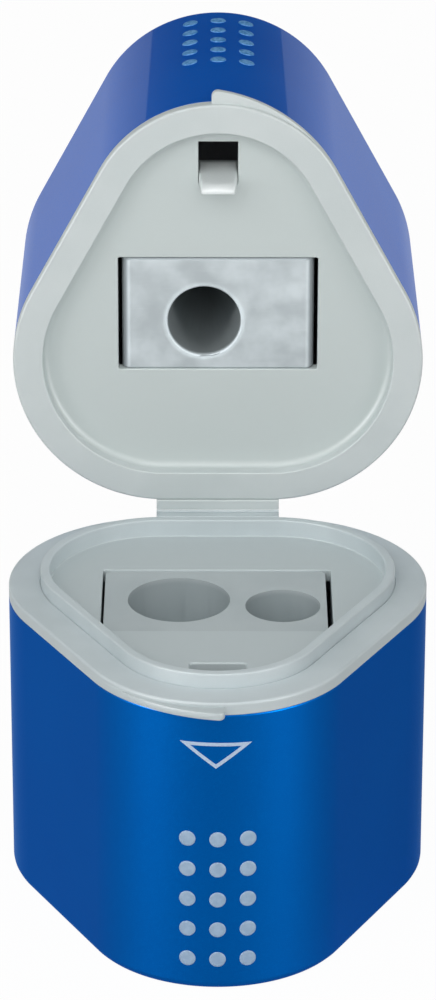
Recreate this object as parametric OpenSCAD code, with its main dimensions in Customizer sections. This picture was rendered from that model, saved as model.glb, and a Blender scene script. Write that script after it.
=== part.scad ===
// Hinged triangular sharpening box: two shell halves that pull off their carriers,
// a twin sharpener in the lower half and a metal sharpener in the upper half.
// Frame: origin at the centre of the base, front towards -Y, upper half folded back at rest.

/* [Case] */
// Width across the two back corners
body_w = 46; // [45:0.5:52]
// Depth from the back face to the front corner
body_d = 47.2; // [46:0.5:54]
// Corner radius of the two back corners
back_r = 16.9; // [15:0.1:18]
// Corner radius of the front corner
front_r = 14.9; // [13.5:0.1:16]
// Height of the lower shell
lower_shell_h = 33; // [31:0.5:42]
// Height of the upper shell
upper_shell_h = 33.3; // [31:0.5:42]
// Wall thickness of both shells
wall = 1.6; // [1.2:0.1:1.8]
// Thickness of the lower shell's base
base_t = 2.6; // [1.2:0.1:3]
// Thickness of the upper shell's closed end
top_t = 1.1; // [1:0.1:2]
// Rounding of the edge round the closed ends
edge_r = 1; // [0.6:0.1:1.4]

/* [Carriers] */
// Thickness of the rims that show between the shells
rim_t = 1.4; // [1:0.1:2]
// Thickness of the carrier floors
floor_t = 1.4; // [1:0.1:2]
// Thickness of the skirts that plug into the shells
skirt_t = 1.1; // [0.8:0.1:1.3]
// Length of the skirts
skirt_h = 6; // [4:0.5:9]
// Clearance between a skirt and its shell
skirt_gap = 0.15; // [0.1:0.05:0.3]
// Distance of the collar from the outer face
collar_inset = 3.5; // [3.3:0.1:4.2]
// Wall thickness of the collar
collar_t = 1.05; // [0.8:0.05:1.4]
// Height of the collar above the rim
collar_h = 1.6; // [1:0.1:2]
// How far the lower floor lies below the rim
floor_drop = 0.4; // [0:0.1:0.8]
// Clearance round the collar in the recess of the upper carrier
collar_gap = 0.15; // [0.1:0.05:0.3]
// Head room over the collar in the recess of the upper carrier
recess_room = 0.4; // [0.2:0.1:0.8]

/* [Thumb lips] */
// Extra radius of the arc that forms each thumb lip
lip_grow = 3.2; // [1:0.1:4]
// Distance in front of the flank at which each lip begins
lip_start = 2; // [1.5:0.1:4]
// How far each lip runs past the centre line
lip_past = 0.75; // [0:0.05:1.5]
// Rounding of the end of each lip
lip_end_r = 0.7; // [0.3:0.05:0.9]
// How far each lip is stepped back from the joint line
lip_drop = 0.5; // [0.2:0.05:0.8]

/* [Hinge] */
// Angle of the upper half at rest, from closed
lid_open = 90.5; // [0:0.5:170]
// Distance of the hinge line behind the back face
hinge_back = 1.4; // [1.2:0.1:2.5]
// Width of the hinge strap
strap_w = 13.9; // [8:0.1:20]
// Thickness of the hinge strap
strap_t = 0.8; // [0.5:0.1:1.2]
// Radius of the thin flexing line of the strap
film_r = 0.22; // [0.15:0.01:0.3]

/* [Latch] */
// Front face of the latch tongue, measured from the middle of the case
tongue_y = -15; // [-15.6:0.1:-14]
// Width of the latch tongue
tongue_w = 4.1; // [3:0.1:5]
// Thickness of the latch tongue
tongue_t = 0.95; // [0.7:0.05:1.2]
// Reach of the tongue below the joint line
tongue_reach = 2.75; // [2.5:0.05:3.5]
// Height of the pivot line above the upper floor
tongue_root = 2.2; // [1.5:0.1:4]
// Set-back of the bar that carries the tongue
bar_set = 0.4; // [0.2:0.05:0.6]
// Height of the barb on the front of the tongue
barb = 0.4; // [0.2:0.05:0.5]
// Side clearance of the tongue in its window
tongue_gap = 0.15; // [0.1:0.05:0.3]
// Length of the latch window in front of the tongue
window_front = 3.7; // [2:0.1:4]
// Width of the latch slot in the lower floor
slot_w = 6; // [5.4:0.1:8]
// Clearance in front of the tongue in the slot
slot_front = 0.25; // [0.2:0.05:0.35]
// Clearance behind the tongue in the slot
slot_back = 0.8; // [0.6:0.05:1.2]

/* [Twin sharpener] */
// Width of the twin block
twin_w = 24.3; // [23.6:0.1:25]
// Depth of the twin block from front to back
twin_d = 15.6; // [15:0.1:16.4]
// Length of the twin block along its holes
twin_len = 27.6; // [25.4:0.1:28]
// Sideways position of the twin block
twin_x = -0.25; // [-0.5:0.05:0.2]
// Front face of the twin block, measured from the middle of the case
twin_front = -5.45; // [-5.8:0.05:-5]
// How far the mouths lie below the floor
twin_drop = 0.2; // [0:0.1:0.6]
// Gap beside the twin block on the left
twin_gap_left = 0.3; // [0.2:0.05:0.5]
// Gap beside the twin block on the right
twin_gap_right = 0.6; // [0.3:0.05:0.8]
// Diameter of the jumbo pencil hole
jumbo_d = 11.2; // [10.6:0.1:11.4]
// Sideways position of the jumbo hole
jumbo_x = -4.25; // [-4.5:0.05:-4.1]
// Angle between the axis and the side of the jumbo point
jumbo_angle = 14.5; // [14.2:0.1:16]
// Sideways position of the standard hole
standard_x = 7.1; // [7:0.05:7.4]
// Distance from the block's front face to the front edges of both holes
twin_front_wall = 2.63; // [2.3:0.05:2.8]
// Chamfer of the upright edges of the twin block
twin_chamfer = 0.5; // [0.3:0.1:1]

/* [Metal sharpener] */
// Width of the metal body
metal_w = 21.5; // [20:0.1:21.8]
// Depth of the metal body, which fills its window
metal_d = 13.3; // [12.8:0.1:13.8]
// Length of the metal body along its hole
metal_len = 22.2; // [21.8:0.1:24]
// Middle of the metal body, measured from the middle of the case
metal_y = 1.7; // [1.2:0.1:2.2]
// Rounding of the corners at both ends of the metal body
metal_r = 1; // [0.4:0.1:1.4]
// Depth of the finger waists in the sides of the metal body
waist = 2.2; // [0.8:0.1:2.3]
// Gap on each side of the metal body
metal_gap = 0.45; // [0.35:0.05:1]
// Seat clearance on the latch side of the metal body
metal_seat = 0.12; // [0.05:0.01:0.3]
// How far the mouth lies behind the upper floor
metal_drop = 0.2; // [0:0.1:0.5]
// Sideways position of the colour pencil hole
colour_x = -1.55; // [-1.9:0.05:-1.2]
// Distance from the hinge-side face to the hole's edge
colour_wall = 1.65; // [1.4:0.05:2]

/* [Holes and blades] */
// Diameter of the standard and colour pencil holes
pencil_d = 8.2; // [7.9:0.1:8.4]
// Angle between the axis and the side of the standard and colour points
pencil_angle = 12; // [11.8:0.1:13.5]
// Length of the straight guide in each hole
guide_len = 4.6; // [4:0.1:5]
// Radius left at the bottom of each point
tip_r = 0.5; // [0.45:0.05:0.8]
// How far each blade face cuts into its cone
breach = 0.35; // [0.3:0.05:0.4]
// Thickness of the blades
blade_t = 0.75; // [0.5:0.05:0.9]
// Width of the colour blade
blade_w = 7.8; // [7:0.1:8]
// Distance from the outer side of the jumbo blade to the side of the block
blade_side = 0.35; // [0.3:0.05:0.8]
// Width of the standard blade
narrow_blade_w = 6.4; // [6:0.1:6.6]
// Length of the two blades of the twin block
twin_blade_len = 21; // [19:0.1:21.4]
// Length of the colour blade
colour_blade_len = 17; // [16:0.1:17.2]
// Width of the ground bevel on each blade
bevel_w = 1.4; // [0.8:0.1:2]
// Clearance between a blade and the step above it
blade_gap = 0.3; // [0.2:0.05:0.6]
// Clearance round each screw head in its countersink
sink_gap = 0.03; // [0.02:0.01:0.1]
// Radius of the blade screws
screw_r = 1; // [0.8:0.05:1.1]
// Radius of the screw heads
screw_head_r = 1.85; // [1.5:0.05:1.9]
// Length of the blade screws in the block
screw_len = 4.5; // [3:0.1:5]
// Height of the screw heads above the blade
screw_head_h = 0.35; // [0.2:0.05:0.6]
// Width of the slot in the screw heads
screw_slot = 0.45; // [0.3:0.05:0.6]

/* [Clips] */
// Thickness of the pocket walls and clip arms
clip_t = 1.2; // [0.8:0.1:1.4]
// Width of each clip arm
clip_w = 7; // [4:0.5:9]
// Grip of each clip hook under its block
clip_hook = 1.3; // [0.5:0.1:1.6]
// Thickness of the clip hooks
hook_t = 1.2; // [0.8:0.1:2]
// Length of the long pocket wall behind the twin block
pocket_h = 11; // [8:0.5:14]
// Distance from the sides of a block to the ends of its pocket walls
pocket_inset = 2; // [1.5:0.1:3]

/* [Grip dots] */
// Diameter of a grip dot
dot_d = 1.8; // [1.2:0.1:2.4]
// Height of a grip dot above the shell
dot_h = 0.12; // [0.1:0.02:0.5]
// Spacing of the dot columns along the curve
dot_col = 3.25; // [2.8:0.05:3.8]
// Spacing of the dot rows
dot_row = 3.62; // [3:0.02:4]
// Distance of the first row from the joint line
dot_first = 16.1; // [14:0.1:17]
// Columns of dots
dot_cols = 3; // [1:2:5]
// Rows of dots
dot_rows = 5; // [1:1:5]

/* [Hidden] */
$fn = 72;
e = 0.01;
// corner centres and the outward normal of the right-hand flank
back_x = body_w / 2 - back_r;
back_y = body_d / 2 - back_r;
front_y = front_r - body_d / 2;
flank = sqrt(back_x * back_x + (back_y - front_y) * (back_y - front_y));
flank_s = (front_r - back_r) / flank;
flank_c = sqrt(1 - flank_s * flank_s);
norm_x = (back_y - front_y) / flank * flank_c + back_x / flank * flank_s;
norm_y = (back_y - front_y) / flank * flank_s - back_x / flank * flank_c;
// heights and hinge line
joint_z = lower_shell_h + rim_t;
hinge_y = body_d / 2 + hinge_back;
skirt_out = wall + skirt_gap;
skirt_in = skirt_out + skirt_t;
collar_in = collar_inset + collar_t;
lower_floor_z = joint_z - floor_drop;
lower_under_z = lower_floor_z - floor_t;
recess_inset = collar_inset - collar_gap;
upper_floor_z = joint_z + collar_h + recess_room;
upper_under_z = upper_floor_z + floor_t;
// twin block and its holes
twin_top = lower_floor_z - twin_drop;
twin_left = twin_x - twin_w / 2;
twin_right = twin_x + twin_w / 2;
jumbo_y = twin_front + twin_front_wall + jumbo_d / 2;
standard_y = twin_front + twin_front_wall + pencil_d / 2;
twin_split = standard_x - narrow_blade_w - blade_gap;
jumbo_blade_w = jumbo_x - twin_left - blade_side;
clear_reach = body_d / 2;
twin_end = twin_top - twin_len;
twin_clip_y = twin_front + twin_d - clip_w / 2 - 2;
// metal body and its hole
metal_z = upper_floor_z + metal_drop;
metal_end = metal_z + metal_len;
metal_back = metal_y + metal_d / 2;
colour_y = metal_back - colour_wall - pencil_d / 2;
// latch
tongue_back = tongue_y + tongue_t;
pivot_z = upper_under_z + tongue_root;
pivot_gap = 0.12;
post_w = 1.4;

// rounded triangle of the case, shrunk on every side by inset
module outline(inset) {
    rb = back_r - inset;
    rf = front_r - inset;
    translate([back_x, back_y]) circle(rb);
    translate([-back_x, back_y]) circle(rb);
    translate([0, front_y]) circle(rf);
    polygon([[back_x, back_y + rb], [-back_x, back_y + rb],
             [-back_x - norm_x * rb, back_y + norm_y * rb], [-norm_x * rf, front_y + norm_y * rf],
             [norm_x * rf, front_y + norm_y * rf], [back_x + norm_x * rb, back_y + norm_y * rb]]);
}

module slab(inset, z0, z1) {
    translate([0, 0, z0]) linear_extrude(z1 - z0) outline(inset);
}

module ring(out, in, z0, z1) {
    difference() {
        slab(out, z0, z1);
        slab(in, z0 - e, z1 + e);
    }
}

// one corner of the rounded closed end
module end_puck(r) {
    rotate_extrude() {
        square([r - edge_r, edge_r]);
        intersection() {
            translate([r - edge_r, edge_r]) circle(edge_r, $fn = 32);
            square([r, edge_r]);
        }
    }
}

// cup with a rounded closed end at z = 0 and its mouth at z = h
module cup(h, end_t) {
    difference() {
        union() {
            hull() {
                translate([back_x, back_y, 0]) end_puck(back_r);
                translate([-back_x, back_y, 0]) end_puck(back_r);
                translate([0, front_y, 0]) end_puck(front_r);
            }
            slab(0, edge_r, h);
        }
        slab(wall, end_t, h + e);
    }
}

// grip dots that stand on the front corner, rows running away from the joint line
module grip_dots(z_first, z_step) {
    turn = dot_col / front_r * 180 / PI;
    for (c = [0 : dot_cols - 1]) {
        for (k = [0 : dot_rows - 1]) {
            intersection() {
                translate([0, front_y, z_first + k * z_step])
                    rotate([90, 0, (c - (dot_cols - 1) / 2) * turn])
                    cylinder(d = dot_d, h = front_r + 2, $fn = 36);
                translate([0, front_y, z_first + k * z_step - dot_d])
                    difference() {
                        cylinder(r = front_r + dot_h, h = 2 * dot_d, $fn = 144);
                        translate([0, 0, -e]) cylinder(r = front_r, h = 2 * dot_d + 2 * e, $fn = 144);
                    }
            }
        }
    }
}

// thumb lip that grows out of the left flank and ends round past the centre line
module thumb_lip(z0, z1) {
    cx = norm_x * lip_grow;
    cy = front_y - norm_y * lip_grow;
    r = front_r + lip_grow;
    ex = lip_past - lip_end_r;
    ey = cy - sqrt(pow(r - lip_end_r - 0.03, 2) - pow(cx - ex, 2));
    translate([0, 0, z0])
        linear_extrude(z1 - z0) {
            difference() {
                translate([cx, cy]) circle(r, $fn = 120);
                translate([ex, -r * 2]) square([3 * r, 4 * r]);
                translate([-3 * r, front_y + norm_y * front_r - lip_start]) square([5 * r, 3 * r]);
            }
            translate([ex, ey]) circle(lip_end_r, $fn = 32);
        }
}

// pencil hole with its mouth at the origin, running down: a straight guide, then the cone
module pencil_hole(d, half) {
    cone_h = (d / 2 - tip_r) / tan(half);
    rotate_extrude()
        polygon([[0, -guide_len - cone_h], [tip_r, -guide_len - cone_h], [d / 2, -guide_len],
                 [d / 2, guide_len], [0, guide_len]]);
}

// moves its children onto the sloping blade face of a hole, outward is -y and down the slope is -z
module on_blade_face(d, half) {
    translate([0, breach / cos(half) - d / 2, -guide_len]) rotate([half, 0, 0]) children();
}

// wedge that clears the front of a block down to the blade face
module blade_clearance(d, half, x0, x1, len) {
    y0 = breach / cos(half) - d / 2;
    run = len - guide_len + 1;
    translate([x0, 0, -guide_len])
        rotate([90, 0, 90])
        linear_extrude(x1 - x0)
        polygon([[y0 - clear_reach, 0], [y0, 0], [y0 + run * tan(half), -run], [y0 - clear_reach, -run]]);
}

// blade with its edge on x = 0, lying towards -x, in the blade face's own frame
module blade(w, len) {
    difference() {
        translate([0, 0, -blade_gap - len])
            linear_extrude(len)
            polygon([[0, 0], [-w, 0], [-w, -blade_t], [-bevel_w, -blade_t]]);
        screw_place(w, len) rotate([90, 0, 0]) {
            slope = (screw_head_r - screw_r) / blade_t * e;
            translate([0, 0, -e])
                cylinder(r1 = screw_r + sink_gap - slope, r2 = screw_head_r + sink_gap + slope,
                         h = blade_t + 2 * e, $fn = 48);
        }
    }
}

module screw_place(w, len) {
    translate([-(w + bevel_w) / 2, 0, -blade_gap - len * 0.56]) children();
}

// countersunk screw with a slotted head
module blade_screw(w, len) {
    screw_place(w, len)
        rotate([90, 0, 0])
        difference() {
            union() {
                translate([0, 0, -screw_len]) cylinder(r = screw_r, h = screw_len, $fn = 48);
                cylinder(r1 = screw_r, r2 = screw_head_r, h = blade_t, $fn = 48);
                translate([0, 0, blade_t]) cylinder(r = screw_head_r, h = screw_head_h, $fn = 48);
            }
            rotate([0, 0, 35])
                translate([-2 * screw_head_r, -screw_slot / 2, blade_t])
                cube([4 * screw_head_r, screw_slot, screw_head_h + e]);
        }
}

module screw_hole(w, len) {
    screw_place(w, len)
        rotate([90, 0, 0])
        translate([0, 0, -screw_len])
        cylinder(r = screw_r, h = screw_len + 1, $fn = 48);
}

module at_jumbo() { translate([jumbo_x, jumbo_y, twin_top]) children(); }

module at_standard() { translate([standard_x, standard_y, twin_top]) children(); }

module at_colour() { translate([colour_x, colour_y, metal_z]) rotate([0, 180, 0]) children(); }

// turns what is drawn closed to the angle of the upper half
module as_opened() {
    translate([0, hinge_y, joint_z]) rotate([-lid_open, 0, 0]) translate([0, -hinge_y, -joint_z]) children();
}

// two posts and a bar that carry the root of the tongue
module tongue_bridge(z0) {
    half = tongue_w / 2 + tongue_gap;
    bar_z = pivot_z + tongue_t / 2 + pivot_gap;
    for (s = [-1, 1])
        translate([s * (half + post_w / 2) - post_w / 2, tongue_y + bar_set, z0])
            cube([post_w, tongue_t + bar_set, bar_z - z0 + e]);
    translate([-half - post_w, tongue_y + bar_set, bar_z])
        cube([2 * (half + post_w), tongue_t + bar_set, post_w]);
}

// clip arm beside a block, its hook reaching towards +x under the block's far end
module clip_arm(x_face, gap, z_floor, z_end, y_mid) {
    dir = z_end < z_floor ? -1 : 1;
    z_far = z_end + dir * hook_t;
    translate([x_face - gap - clip_t, y_mid - clip_w / 2, min(z_floor, z_far)])
        cube([clip_t, clip_w, abs(z_far - z_floor)]);
    translate([x_face - gap - e, y_mid - clip_w / 2, min(z_end, z_far)])
        cube([gap + clip_hook + e, clip_w, hook_t]);
}

module lower_shell() {
    color([0.03, 0.29, 0.61]) cup(lower_shell_h, base_t);
}

module lower_grip_dots() {
    color([0.69, 0.77, 0.87]) grip_dots(joint_z - dot_first, -dot_row);
}

module lower_carrier() {
    color([0.68, 0.71, 0.72])
        difference() {
            union() {
                slab(0, joint_z - rim_t, joint_z);
                thumb_lip(joint_z - rim_t, joint_z - lip_drop);
                slab(collar_inset, joint_z - e, joint_z + collar_h);
                slab(skirt_out, lower_under_z, joint_z - rim_t + e);
                ring(skirt_out, skirt_in, joint_z - rim_t - skirt_h, lower_under_z + e);
                // pocket walls in front of and behind the block
                translate([twin_left + pocket_inset, twin_front - clip_t, twin_top - guide_len])
                    cube([twin_w - 2 * pocket_inset, clip_t, lower_under_z - twin_top + guide_len + e]);
                translate([twin_left + pocket_inset, twin_front + twin_d, lower_under_z - pocket_h])
                    cube([twin_w - 2 * pocket_inset, clip_t, pocket_h + e]);
                clip_arm(twin_left, twin_gap_left, lower_under_z + e, twin_end, twin_clip_y);
                mirror([1, 0, 0])
                    clip_arm(-twin_right, twin_gap_right, lower_under_z + e, twin_end, twin_clip_y);
            }
            slab(collar_in, lower_floor_z, joint_z + collar_h + e);
            translate([twin_left - twin_gap_left, twin_front, lower_under_z - e])
                cube([twin_w + twin_gap_left + twin_gap_right, twin_d, floor_t + 2 * e]);
            translate([-slot_w / 2, tongue_y - slot_front, lower_under_z - e])
                cube([slot_w, tongue_t + slot_front + slot_back, floor_t + 2 * e]);
        }
}

module lower_hinge_leaf() {
    color([0.68, 0.71, 0.72])
        translate([-strap_w / 2, body_d / 2, joint_z - strap_t])
        cube([strap_w, hinge_back - film_r, strap_t]);
}

module hinge_film() {
    color([0.62, 0.65, 0.66])
        translate([-strap_w / 2, hinge_y, joint_z])
        rotate([0, 90, 0])
        cylinder(r = film_r, h = strap_w, $fn = 24);
}

module twin_sharpener_block() {
    c = twin_chamfer;
    color([0.60, 0.64, 0.65])
        difference() {
            translate([twin_left, twin_front, twin_top - twin_len])
                linear_extrude(twin_len)
                polygon([[c, 0], [twin_w - c, 0], [twin_w, c], [twin_w, twin_d - c],
                         [twin_w - c, twin_d], [c, twin_d], [0, twin_d - c], [0, c]]);
            at_jumbo() {
                pencil_hole(jumbo_d, jumbo_angle);
                blade_clearance(jumbo_d, jumbo_angle, twin_left - 1 - jumbo_x, twin_split - jumbo_x,
                                twin_len);
                on_blade_face(jumbo_d, jumbo_angle) screw_hole(jumbo_blade_w, twin_blade_len);
            }
            at_standard() {
                pencil_hole(pencil_d, pencil_angle);
                blade_clearance(pencil_d, pencil_angle, twin_split - standard_x, twin_w, twin_len);
                on_blade_face(pencil_d, pencil_angle) screw_hole(narrow_blade_w, twin_blade_len);
            }
        }
}

module jumbo_blade() {
    color([0.80, 0.82, 0.84])
        at_jumbo() on_blade_face(jumbo_d, jumbo_angle) blade(jumbo_blade_w, twin_blade_len);
}

module jumbo_blade_screw() {
    color([0.75, 0.76, 0.78])
        at_jumbo() on_blade_face(jumbo_d, jumbo_angle) blade_screw(jumbo_blade_w, twin_blade_len);
}

module standard_blade() {
    color([0.80, 0.82, 0.84])
        at_standard() on_blade_face(pencil_d, pencil_angle) blade(narrow_blade_w, twin_blade_len);
}

module standard_blade_screw() {
    color([0.75, 0.76, 0.78])
        at_standard() on_blade_face(pencil_d, pencil_angle) blade_screw(narrow_blade_w, twin_blade_len);
}

module upper_hinge_leaf() {
    color([0.72, 0.76, 0.77])
        as_opened()
        translate([-strap_w / 2, body_d / 2, joint_z])
        cube([strap_w, hinge_back - film_r, strap_t]);
}

module upper_carrier() {
    pocket_top = upper_under_z - e;
    color([0.72, 0.76, 0.77])
        as_opened()
        difference() {
            union() {
                slab(0, joint_z, joint_z + rim_t);
                mirror([1, 0, 0]) thumb_lip(joint_z + lip_drop, joint_z + rim_t);
                slab(skirt_out, joint_z + rim_t - e, upper_under_z);
                ring(skirt_out, skirt_in, upper_under_z - e, joint_z + rim_t + skirt_h);
                // low pocket walls on the latch side and the hinge side of the metal body
                for (y = [metal_back, metal_y - metal_d / 2 - clip_t])
                    translate([pocket_inset - metal_w / 2, y, pocket_top])
                        cube([metal_w - 2 * pocket_inset, clip_t, metal_z + guide_len - pocket_top]);
                clip_arm(-metal_w / 2, metal_gap, pocket_top, metal_end, metal_y - 1);
                mirror([1, 0, 0]) clip_arm(-metal_w / 2, metal_gap, pocket_top, metal_end, metal_y - 1);
                tongue_bridge(pocket_top);
            }
            slab(recess_inset, joint_z - e, upper_floor_z);
            translate([-metal_w / 2 - metal_gap, metal_y - metal_d / 2 - metal_seat, upper_floor_z - e])
                cube([metal_w + 2 * metal_gap, metal_d + metal_seat, floor_t + 2 * e]);
            translate([-tongue_w / 2 - tongue_gap, tongue_y - window_front, upper_floor_z - e])
                cube([tongue_w + 2 * tongue_gap, window_front + tongue_t + slot_back, floor_t + 2 * e]);
        }
}

module latch_tongue() {
    hw = tongue_w / 2;
    tip_z = joint_z - tongue_reach;
    barb_z = lower_under_z - 0.15;
    color([0.74, 0.78, 0.79])
        as_opened() {
            translate([0, tongue_back, 0])
                rotate([90, 0, 0])
                linear_extrude(tongue_t)
                polygon([[-hw, pivot_z], [-hw, joint_z], [0.33 - hw, tip_z], [hw - 0.33, tip_z],
                         [hw, joint_z], [hw, pivot_z]]);
            translate([-hw, tongue_y + tongue_t / 2, pivot_z])
                rotate([0, 90, 0])
                cylinder(d = tongue_t, h = tongue_w, $fn = 32);
            translate([0.35 - hw, 0, 0])
                rotate([90, 0, 90])
                linear_extrude(tongue_w - 0.7)
                polygon([[tongue_y + e, barb_z], [tongue_y - barb, barb_z - 0.1],
                         [tongue_y + e, tip_z + 0.05]]);
        }
}

module metal_sharpener_body() {
    hx = metal_w / 2 - metal_r;
    waist_r = (pow(metal_len / 2 - 2.5, 2) + waist * waist) / (2 * waist);
    color([0.77, 0.78, 0.80])
        as_opened()
        difference() {
            // one section, finger waists and rolled corners included, carried from side to side
            translate([0, metal_back, metal_z])
                rotate([90, 0, 0])
                linear_extrude(metal_d)
                difference() {
                    union() {
                        translate([-metal_w / 2, metal_r]) square([metal_w, metal_len - 2 * metal_r]);
                        translate([-hx, 0]) square([2 * hx, metal_len]);
                        for (sx = [-1, 1])
                            for (z = [metal_r, metal_len - metal_r])
                                translate([sx * hx, z]) circle(metal_r, $fn = 32);
                    }
                    for (s = [-1, 1])
                        translate([s * (metal_w / 2 - waist + waist_r), metal_len / 2 + 1])
                            circle(waist_r, $fn = 160);
                }
            at_colour() {
                pencil_hole(pencil_d, pencil_angle);
                blade_clearance(pencil_d, pencil_angle, -metal_w, metal_w, metal_len);
                on_blade_face(pencil_d, pencil_angle) screw_hole(blade_w, colour_blade_len);
            }
        }
}

module colour_blade() {
    color([0.80, 0.82, 0.84])
        as_opened()
        at_colour() on_blade_face(pencil_d, pencil_angle) blade(blade_w, colour_blade_len);
}

module colour_blade_screw() {
    color([0.75, 0.76, 0.78])
        as_opened()
        at_colour()
        on_blade_face(pencil_d, pencil_angle) blade_screw(blade_w, colour_blade_len);
}

module upper_shell() {
    color([0.03, 0.28, 0.60])
        as_opened()
        translate([0, 0, joint_z + rim_t + upper_shell_h])
        mirror([0, 0, 1])
        cup(upper_shell_h, top_t);
}

module upper_grip_dots() {
    color([0.69, 0.77, 0.87]) as_opened() grip_dots(joint_z + dot_first, dot_row);
}

lower_shell();
lower_grip_dots();
lower_carrier();
lower_hinge_leaf();
hinge_film();
twin_sharpener_block();
jumbo_blade();
jumbo_blade_screw();
standard_blade();
standard_blade_screw();
upper_hinge_leaf();
upper_carrier();
latch_tongue();
metal_sharpener_body();
colour_blade();
colour_blade_screw();
upper_shell();
upper_grip_dots();
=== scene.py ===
import math
import bpy
import bmesh
import numpy as np
from mathutils import Matrix, Vector
from mathutils.geometry import delaunay_2d_cdt


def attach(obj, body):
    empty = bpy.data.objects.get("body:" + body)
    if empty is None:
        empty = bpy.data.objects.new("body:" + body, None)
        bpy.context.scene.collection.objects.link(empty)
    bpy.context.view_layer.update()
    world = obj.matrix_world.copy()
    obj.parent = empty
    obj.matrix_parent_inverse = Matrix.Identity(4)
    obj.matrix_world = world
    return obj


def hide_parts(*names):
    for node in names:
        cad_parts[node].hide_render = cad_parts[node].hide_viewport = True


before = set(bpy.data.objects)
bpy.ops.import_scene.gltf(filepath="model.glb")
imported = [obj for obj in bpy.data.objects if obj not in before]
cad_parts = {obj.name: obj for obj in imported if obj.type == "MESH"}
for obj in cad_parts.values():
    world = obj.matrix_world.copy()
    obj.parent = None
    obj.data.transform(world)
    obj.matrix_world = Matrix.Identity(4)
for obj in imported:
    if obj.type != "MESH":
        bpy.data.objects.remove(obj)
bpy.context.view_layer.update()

MM = 0.001

# ---------------------------------------------------------------------------
# Lower shell: the cup of the lower half, moulded in ABS and sprayed with a
# satin metallic blue. It is pushed up over the skirt of the lower carrier and
# pulls off downwards to empty the shavings.
BODY_W, BODY_D = 46.0, 47.2
BACK_R, FRONT_R = 16.9, 14.9
SHELL_WALL = 1.6
LOWER_SHELL_H, LOWER_BASE = 33.0, 2.6
JOINT_Z = 34.4
BACK_X = BODY_W / 2 - BACK_R
BACK_Y = BODY_D / 2 - BACK_R
FRONT_Y = FRONT_R - BODY_D / 2
FLANK_TURN = math.degrees(math.atan2(BACK_Y - FRONT_Y, BACK_X)
                          - math.acos((FRONT_R - BACK_R) / math.hypot(BACK_X, BACK_Y - FRONT_Y)))


def arc(centre, radius, start, stop, count):
    """Points centre + radius (cos t, sin t), t in equal steps of degrees, and their unit normals."""
    t = np.radians(np.linspace(start, stop, count))
    normal = np.column_stack((np.cos(t), np.sin(t)))
    return np.asarray(centre) + radius * normal, normal


def case_outline(step=1.5):
    """Rounded triangle run anticlockwise: three arcs joined by their common tangents, with normals.

    The arcs are in steps of about `step` degrees and the tangents are cut into equal parts."""
    turn = FLANK_TURN
    back_parts, flank_parts = 9, 15
    runs = [arc((BACK_X, BACK_Y), BACK_R, turn, 90, int((90 - turn) / step)),
            arc((-BACK_X, BACK_Y), BACK_R, 90, 180 - turn, int((90 - turn) / step)),
            arc((0, FRONT_Y), FRONT_R, 180 - turn, 360 + turn, int((180 + 2 * turn) / step))]
    points, normals = [], []
    for k, parts in enumerate((back_parts, flank_parts, flank_parts)):
        run, normal = runs[k]
        following = runs[(k + 1) % 3][0]
        s = np.linspace(0, 1, parts + 1)[1:-1, None]
        points += [run, run[-1] + s * (following[0] - run[-1])]
        normals += [normal, np.repeat(normal[-1:], len(s), axis=0)]
    return np.concatenate(points), np.concatenate(normals)


def raised(loop, z):
    """The (x, y) points of a loop, all at the height z."""
    return np.column_stack((loop, np.full(len(loop), z)))


def softened(corners, steps=5):
    """Polyline through (inset, height, radius) corners, where each corner with a radius becomes
    the arc of that radius tangent to both of its sides."""
    out = []
    for k, (x, z, r) in enumerate(corners):
        p = np.array((x, z))
        if not r or k in (0, len(corners) - 1):
            out.append(p[None])
            continue
        u, w = (np.array(corners[k + s][:2]) - p for s in (-1, 1))
        u, w = u / np.linalg.norm(u), w / np.linalg.norm(w)
        half = 0.5 * math.acos(float(np.clip(u @ w, -1, 1)))
        centre = p + (u + w) / np.linalg.norm(u + w) * r / math.sin(half)
        first, last = (p + d * r / math.tan(half) - centre for d in (u, w))
        a = math.atan2(first[1], first[0])
        b = math.atan2(last[1], last[0]) - a
        t = a + ((b + math.pi) % (2 * math.pi) - math.pi) * np.linspace(0, 1, steps + 1)
        out.append(centre + r * np.column_stack((np.cos(t), np.sin(t))))
    return np.concatenate(out)


def carried(path, normal, profile):
    """Profile of (inset, height) pairs carried along a path: ring k is path - inset_k normal."""
    flat = path[None] - profile[:, 0][:, None, None] * normal[None]
    height = np.broadcast_to(profile[:, 1][:, None, None], flat.shape[:2] + (1,))
    return np.concatenate((flat, height), axis=2)


def inside_loop(points, loop):
    """True where a line from the point towards +x crosses the loop an odd number of times."""
    a, b = loop, np.roll(loop, -1, axis=0)
    x, y = points[:, :1], points[:, 1:]
    spans = (a[:, 1] > y) != (b[:, 1] > y)
    rise = np.where(spans, b[:, 1] - a[:, 1], 1.0)
    return (spans & (x < a[:, 0] + (y - a[:, 1]) * (b[:, 0] - a[:, 0]) / rise)).sum(axis=1) % 2 == 1


FILL_INSIDE, FILL_GAP = 1, 1e-7  # keep what lies inside the loops, and count points this near as one


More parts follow.
